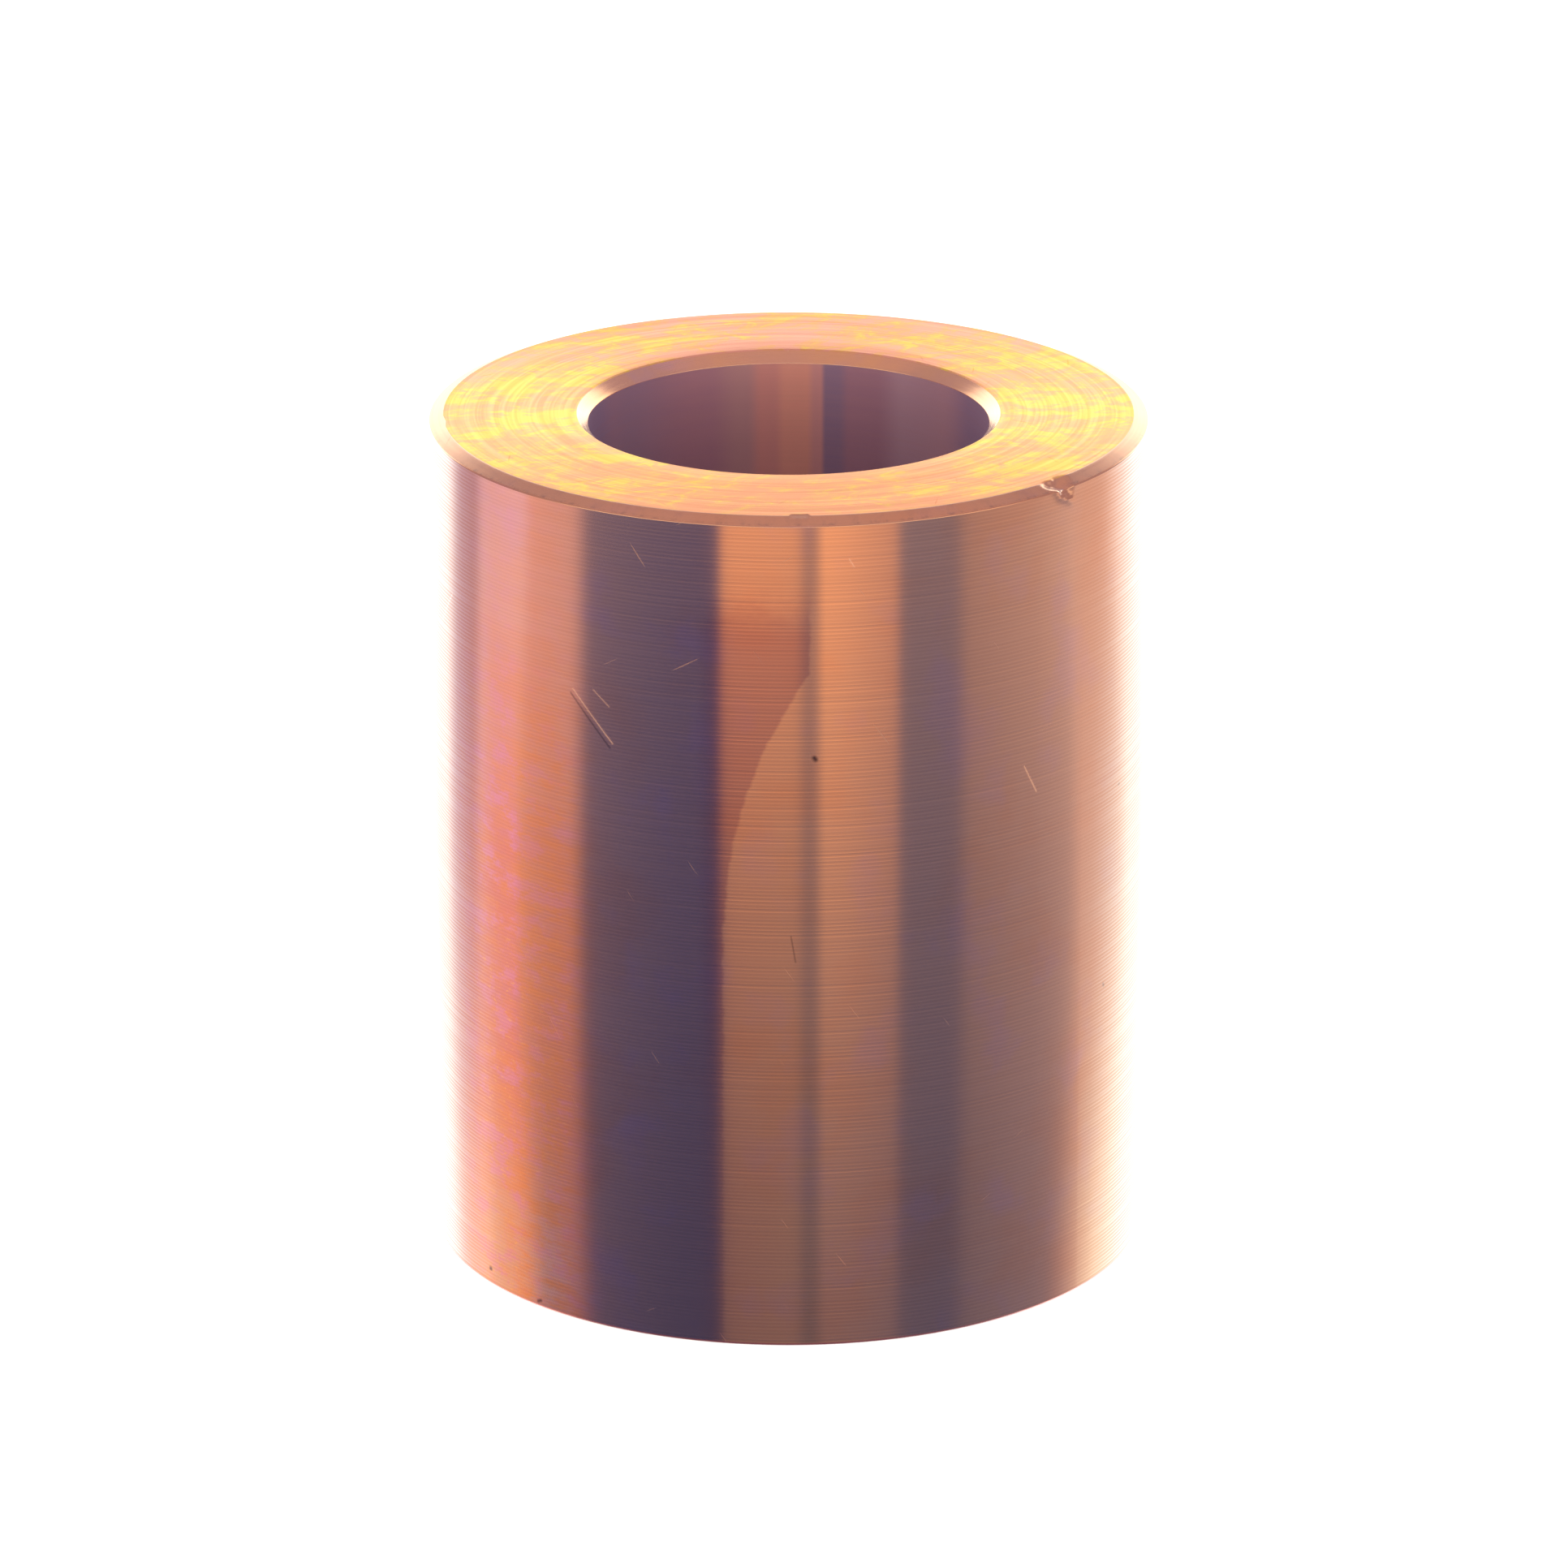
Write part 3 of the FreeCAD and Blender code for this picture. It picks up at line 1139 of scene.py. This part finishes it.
FINISHES = (
    WallFinish(
        surface=Surface.WALL,
        base=(0.80, 0.42, 0.27),
        warm=(0.82, 0.36, 0.20),
        cool=(0.74, 0.40, 0.36),
        tint_amount=0.5,
        tint_scale=90.0,
        roughness=0.175,
        roughness_spread=0.01,
        anisotropy=0.7,
        grain_pitch=0.2,
        grain_bump=0.0004,
        across_is_height=True,
        scratch_density=0.0,
        painted_sheen_strength=1.0,
        groove_shade=0.75,
        hollow_painted_shade=0.14,
    ),
    RimFinish(
        surface=Surface.RIM,
        base=(0.80, 0.42, 0.27),
        warm=(0.80, 0.36, 0.20),
        cool=(0.70, 0.38, 0.34),
        tint_amount=0.4,
        tint_scale=120.0,
        roughness=0.28,
        roughness_spread=0.08,
        anisotropy=0.5,
        grain_pitch=0.12,
        grain_bump=0.002,
        across_is_height=False,
        scratch_density=0.02,
        painted_sheen_strength=0.35,
    ),
    FaceFinish(
        surface=Surface.END_FACE,
        base=(0.88, 0.50, 0.25),
        warm=(0.95, 0.62, 0.15),
        cool=(0.86, 0.46, 0.38),
        tint_amount=0.8,
        tint_scale=220.0,
        roughness=0.36,
        roughness_spread=0.1,
        anisotropy=0.45,
        grain_pitch=0.18,
        grain_bump=0.003,
        across_is_height=False,
        scratch_density=0.05,
        painted_sheen_strength=0.0,
    ),
    BronzeFinish(
        surface=Surface.BORE_MOUTH,
        base=(0.86, 0.48, 0.33),
        warm=(0.98, 0.54, 0.26),
        cool=(0.74, 0.45, 0.48),
        tint_amount=0.7,
        tint_scale=85.0,
        roughness=0.2,
        roughness_spread=0.08,
        anisotropy=0.5,
        grain_pitch=0.15,
        grain_bump=0.002,
        across_is_height=False,
        scratch_density=0.02,
        painted_sheen_strength=0.5,
    ),
    BoreFinish(
        surface=Surface.BORE,
        base=(0.76, 0.38, 0.28),
        warm=(0.76, 0.33, 0.22),
        cool=(0.66, 0.34, 0.34),
        tint_amount=0.4,
        tint_scale=120.0,
        roughness=0.34,
        roughness_spread=0.06,
        anisotropy=0.3,
        grain_pitch=0.15,
        grain_bump=0.0004,
        across_is_height=True,
        scratch_density=0.0,
        painted_sheen_strength=0.0,
        metallic=0.6,
    ),
)


# ---------------------------------------------------------------- the stage


@dataclass(frozen=True)
class Panel:
    """A sheet of lit cloth in the ring, from one azimuth and height to another.

    Its four colours are the light near its corners: at its start and its end, on the high
    mark and on the low one.  Hang is the power by which the light changes from the high mark
    down to the low one.  Follows is how far it bows with the ring, from 0 to 1.
    """

    start: float
    end: float
    soft_start: float
    soft_end: float
    high_start: Colour
    high_end: Colour
    low_start: Colour
    low_end: Colour
    hang: float = 1.0
    follows: float = 1.0
    bottom: float = -900.0
    top: float = 8.0
    soft_top: float = 10.0
    high_mark: float = -40.0
    low_mark: float = -104.0

    def share(self, azimuth: np.ndarray, height: np.ndarray) -> np.ndarray:
        """How much of the light at each place is this panel's, with soft edges.

        Args:
            azimuth: azimuth of each place on the flat cloth, degrees.
            height: height of each place.

        Returns:
            A share from 0 to 1.
        """
        whole = np.zeros(azimuth.shape)
        for turn in (-360.0, 0.0, 360.0):
            turned = azimuth + turn
            rise = smoothstep(turned, self.start - self.soft_start, self.start + self.soft_start)
            fall = smoothstep(turned, self.end + self.soft_end, self.end - self.soft_end)
            whole = np.maximum(whole, rise * fall)
        above = smoothstep(height, self.bottom - self.soft_top, self.bottom + self.soft_top)
        below = smoothstep(height, self.top + self.soft_top, self.top - self.soft_top)
        return whole * above * below

    def light(self, azimuth: np.ndarray, height: np.ndarray) -> np.ndarray:
        """The panel's colour at each place: its corners' colours mixed as powers.

        Args:
            azimuth: azimuth of each place on the flat cloth, degrees.
            height: height of each place.

        Returns:
            The colours, with an axis of three added.
        """
        middle = (self.start + self.end) / 2.0
        turned = (azimuth - middle + 180.0) % 360.0 - 180.0 + middle
        along = np.clip((turned - self.start) / (self.end - self.start), 0.0, 1.0)[..., None]
        down = np.clip((self.high_mark - height) / (self.high_mark - self.low_mark), -0.3, 1.3)[..., None]
        down = np.sign(down) * np.abs(down) ** self.hang
        high = np.log(self.high_start) * (1.0 - along) + np.log(self.high_end) * along
        low = np.log(self.low_start) * (1.0 - along) + np.log(self.low_end) * along
        return np.exp(high * (1.0 - down) + low * down)


def even_panel(start: float, end: float, soft: float, colour: Colour, bottom: float, top: float) -> Panel:
    """Return a panel of one colour.

    Args:
        start: azimuth where it starts.
        end: azimuth where it ends.
        soft: half-width of its upright edges, degrees.
        colour: its light.
        bottom: height of its lower edge.
        top: height of its upper edge.

    Returns:
        The panel.
    """
    return Panel(start, end, soft, soft, colour, colour, colour, colour, bottom=bottom, top=top)


CURTAINS = (
    Panel(
        start=-69.7, end=-20.8, soft_start=4.6, soft_end=0.9,
        high_start=(0.235, 0.25, 0.485), high_end=(0.057, 0.094, 0.377),
        low_start=(0.127, 0.148, 0.352), low_end=(0.049, 0.077, 0.264),
        hang=1.3,
    ),
    Panel(
        start=-20.8, end=3.9, soft_start=0.9, soft_end=1.5,
        high_start=(0.88, 0.60, 0.46), high_end=(0.83, 0.58, 0.45),
        low_start=(0.21, 0.185, 0.26), low_end=(0.235, 0.23, 0.30),
        hang=0.69,
    ),
    Panel(
        start=3.9, end=9.3, soft_start=1.5, soft_end=0.9,
        high_start=(0.40, 0.335, 0.41), high_end=(0.40, 0.335, 0.41),
        low_start=(0.130, 0.164, 0.278), low_end=(0.130, 0.164, 0.278),
    ),
    Panel(
        start=9.3, end=34.2, soft_start=0.9, soft_end=1.2,
        high_start=(1.20, 0.83, 0.55), high_end=(0.72, 0.52, 0.475),
        low_start=(0.228, 0.235, 0.345), low_end=(0.203, 0.217, 0.35),
    ),
    Panel(
        start=34.2, end=56.0, soft_start=1.2, soft_end=3.5,
        high_start=(0.224, 0.262, 0.463), high_end=(0.24, 0.265, 0.453),
        low_start=(0.123, 0.160, 0.333), low_end=(0.115, 0.153, 0.345),
    ),
    Panel(
        start=56.0, end=104.0, soft_start=3.5, soft_end=2.0,
        high_start=(0.45, 0.395, 0.46), high_end=(0.81, 0.74, 0.76),
        low_start=(0.182, 0.21, 0.36), low_end=(0.345, 0.37, 0.55),
    ),
    Panel(
        start=104.0, end=138.0, soft_start=2.0, soft_end=6.0,
        high_start=(0.88, 0.84, 0.90), high_end=(0.94, 0.69, 0.57),
        low_start=(0.55, 0.50, 0.63), low_end=(1.50, 1.50, 1.20),
        hang=1.6,
    ),
    Panel(
        start=138.0, end=222.0, soft_start=6.0, soft_end=6.0,
        high_start=(1.15, 1.00, 0.90), high_end=(1.40, 1.35, 1.30),
        low_start=(1.35, 1.40, 1.25), low_end=(1.20, 1.10, 1.00),
    ),
    Panel(
        start=-138.0, end=-96.0, soft_start=6.0, soft_end=1.2,
        high_start=(0.96, 0.83, 1.08), high_end=(1.16, 1.00, 1.28),
        low_start=(1.15, 1.15, 1.02), low_end=(1.04, 0.70, 0.63),
    ),
    Panel(
        start=-96.0, end=-69.7, soft_start=1.2, soft_end=4.6,
        high_start=(1.04, 0.76, 0.86), high_end=(0.84, 0.67, 0.80),
        low_start=(0.50, 0.48, 0.69), low_end=(0.45, 0.315, 0.51),
        hang=1.8,
    ),
)
BOARDS = (
    Panel(
        start=-137.0, end=-117.0, soft_start=7.0, soft_end=4.0,
        high_start=(0.72, 0.53, 0.62), high_end=(0.56, 0.40, 0.51),
        low_start=(1.05, 0.76, 0.72), low_end=(1.15, 0.80, 0.78),
        hang=1.8, follows=0.25,
    ),
    even_panel(165.0, 195.0, 14.0, (1.40, 1.40, 1.40), -900.0, 8.0),
    even_panel(-400.0, 400.0, 5.0, (0.50, 0.40, 0.46), 8.0, 900.0),
    even_panel(130.0, 230.0, 12.0, (1.95, 1.83, 1.44), 8.0, 205.0),
    even_panel(-75.0, 75.0, 12.0, (1.15, 1.05, 0.92), 8.0, 205.0),
)


@dataclass(frozen=True)
class LightRing:
    """Cloth and light panels standing in a ring round the sleeve, seen only in its reflections."""

    radius: float = 300.0
    bottom: float = -400.0
    top: float = 450.0
    columns: int = 720
    rows: int = 86
    bow: float = 9.0
    bow_middle: float = -77.0
    bow_reach: float = 35.0
    bow_most: float = 50.0
    bow_power: float = 1.3

    def build(self) -> bpy.types.Object:
        """Make the ring as an open tube whose points carry the light of the panels.

        A point is (R sin a, -R cos a, z).  The curtains meet side by side, and the boards are
        laid over them in their order, each by its share.  Below the floor's level they bow: an
        upright edge bends towards the front above and below its middle, by
        b |a / 100|^3 (d / reach)^power degrees at azimuth a and distance d from the middle.

        Returns:
            The ring's object.
        """
        azimuth = np.linspace(-180.0, 180.0, self.columns, endpoint=False)
        azimuth, height = np.meshgrid(azimuth, np.linspace(self.bottom, self.top, self.rows))
        angle = np.radians(azimuth)
        points = np.stack([self.radius * np.sin(angle), -self.radius * np.cos(angle), height], axis=-1) * MM
        from_middle = np.clip(np.abs(height - self.bow_middle), 0.0, self.bow_most)
        bend = self.bow * np.abs(azimuth / 100.0) ** 3 * (from_middle / self.bow_reach) ** self.bow_power
        bend = np.where(height < 0.0, bend, 0.0)
        bowed = np.sign(azimuth) * np.minimum(np.abs(azimuth) + bend, 180.0)
        shares = [panel.share(bowed, height)[..., None] for panel in CURTAINS]
        lights = [panel.light(bowed, height) for panel in CURTAINS]
        light = sum(share * light for share, light in zip(shares, lights))
        light = light / np.maximum(sum(shares), 1e-6)
        for panel in BOARDS:
            hung = azimuth + panel.follows * (bowed - azimuth)
            share = panel.share(hung, height)[..., None]
            light = light * (1.0 - share) + panel.light(hung, height) * share
        mesh = grid_mesh("light_ring", points, wrap_rows=False)
        colours = np.concatenate([light, np.ones((*light.shape[:2], 1))], axis=-1)
        attribute = mesh.attributes.new("light", "FLOAT_COLOR", "POINT")
        attribute.data.foreach_set("color", colours.astype(np.float32).ravel())
        mesh.materials.append(self.material())
        ring = link_object("light_ring", mesh)
        ring.visible_camera = False
        ring.visible_diffuse = False
        ring.visible_shadow = False
        ring.visible_transmission = False
        return ring

    @staticmethod
    def material() -> bpy.types.Material:
        """Light of each point's own colour."""
        made = bpy.data.materials.new("light_ring")
        made.use_nodes = True
        made.node_tree.nodes.clear()
        g = Graph(made.node_tree)
        light = g.node("ShaderNodeAttribute", attribute_name="light").outputs["Color"]
        glow = g.node("ShaderNodeEmission", {"Color": light, "Strength": 1.0})
        g.node("ShaderNodeOutputMaterial", {"Surface": glow.outputs[0]})
        made.cycles.emission_sampling = "NONE"
        return made


@dataclass(frozen=True)
class Stage:
    """Floor, light and camera.

    The lens is in millimetres, the lamp's power in watts, and aim_right and aim_up say how far
    beside and above the sleeve's middle the camera looks.
    """

    elevation: float = 19.58
    distance: float = 609.0
    lens: float = 215.8
    aim_right: float = -0.29
    aim_up: float = 2.1
    floor_half: float = 2000.0
    floor_gap: float = 0.02
    floor_grey: Colour = (0.8, 0.8, 0.8)
    floor_glow: float = 0.75
    white: Colour = (1.0, 1.0, 1.0)
    sky_below: Colour = (0.20, 0.17, 0.26)
    sky_above: Colour = (0.62, 0.46, 0.46)
    lamp_side: float = 700.0
    lamp_power: float = 6.0
    lamp_forward: float = 100.0
    lamp_height: float = 800.0
    lamp_tilt: float = -7.0

    def floor(self) -> bpy.types.Object:
        """A pale lit table just under the sleeve, clear seen from below and absent from reflections.

        Returns:
            The floor's object.
        """
        half, level = self.floor_half * MM, -self.floor_gap * MM
        corners = [(-half, -half, level), (half, -half, level), (half, half, level), (-half, half, level)]
        mesh = bpy.data.meshes.new("floor")
        mesh.from_pydata(corners, [], [(0, 1, 2, 3)])
        made = bpy.data.materials.new("pale_floor")
        made.use_nodes = True
        made.node_tree.nodes.clear()
        g = Graph(made.node_tree)
        matt = g.node("ShaderNodeBsdfDiffuse", {"Color": self.floor_grey}).outputs[0]
        glow = g.node("ShaderNodeEmission", {"Color": self.white, "Strength": self.floor_glow}).outputs[0]
        top = g.node("ShaderNodeAddShader", {0: matt, 1: glow}).outputs[0]
        clear = g.node("ShaderNodeBsdfTransparent").outputs[0]
        below = g.node("ShaderNodeNewGeometry").outputs["Backfacing"]
        both = g.node("ShaderNodeMixShader", {0: below, 1: top, 2: clear}).outputs[0]
        g.node("ShaderNodeOutputMaterial", {"Surface": both})
        mesh.materials.append(made)
        floor = link_object("floor", mesh)
        floor.visible_glossy = False
        return floor

    def world(self) -> None:
        """White all round, and in reflections bright above and dim violet below."""
        world = bpy.data.worlds.new("studio")
        bpy.context.scene.world = world
        world.use_nodes = True
        world.node_tree.nodes.clear()
        g = Graph(world.node_tree)
        direction = g.node("ShaderNodeTexCoord").outputs["Generated"]
        up = g.node("ShaderNodeSeparateXYZ", {0: direction}).outputs["Z"]
        sky = g.mix(g.ease(up, -0.6, 0.3), self.sky_below, self.sky_above)
        reflected = g.node("ShaderNodeLightPath").outputs["Is Glossy Ray"]
        colour = g.mix(reflected, self.white, sky)
        light = g.node("ShaderNodeBackground", {"Color": colour, "Strength": 1.0})
        g.node("ShaderNodeOutputWorld", {"Surface": light.outputs[0]})

    def softbox(self) -> None:
        """One large soft lamp overhead, for the floor and the light that falls into the bore."""
        lamp = bpy.data.lights.new("overhead_softbox", "AREA")
        lamp.shape = "SQUARE"
        lamp.size = self.lamp_side * MM
        lamp.energy = self.lamp_power
        box = link_object("overhead_softbox", lamp)
        box.location = (0.0, -self.lamp_forward * MM, self.lamp_height * MM)
        box.rotation_euler = (math.radians(self.lamp_tilt), 0.0, 0.0)
        box.visible_glossy = False

    def camera(self, centre: Vector) -> bpy.types.Object:
        """Stand the camera in front of the sleeve, looking a little above its middle.

        Args:
            centre: the middle of the sleeve's box.

        Returns:
            The camera's object.
        """
        tilt = math.radians(self.elevation)
        back = Vector((0.0, -math.cos(tilt), math.sin(tilt)))
        up = Vector((0.0, math.sin(tilt), math.cos(tilt)))
        aim = centre + (Vector((1.0, 0.0, 0.0)) * self.aim_right + up * self.aim_up) * MM
        data = bpy.data.cameras.new("camera")
        data.lens = self.lens
        data.sensor_width = 36.0
        camera = link_object("camera", data)
        camera.location = centre + back * self.distance * MM
        camera.rotation_mode = "QUATERNION"
        camera.rotation_quaternion = (aim - camera.location).to_track_quat("-Z", "Y")
        bpy.context.scene.camera = camera
        return camera

    def build(self, centre: Vector) -> None:
        """Set the whole stage round the sleeve."""
        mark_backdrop(self.floor(), LightRing().build())
        self.world()
        self.softbox()
        self.camera(centre)
        bpy.context.scene.view_settings.view_transform = "Standard"


def main() -> None:
    """Build the sleeve round the CAD frame, then the stage."""
    logging.basicConfig(level=logging.INFO, format="%(name)s: %(message)s")
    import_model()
    cad_low, cad_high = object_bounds()
    sizes = SleeveSizes.from_frame()
    sleeve = TurnedSleeve(sizes).build()
    effects = BronzeEffects(sizes)
    for finish in sorted(FINISHES, key=lambda f: f.surface.value):
        sleeve.data.materials.append(finish.material(effects))
    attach(sleeve, BODY)
    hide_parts(CAD_NODE)
    LOG.info("%s: %d faces", sleeve.name, len(sleeve.data.polygons))
    Stage().build((cad_low + cad_high) / 2)


if __name__ == "__main__":
    main()
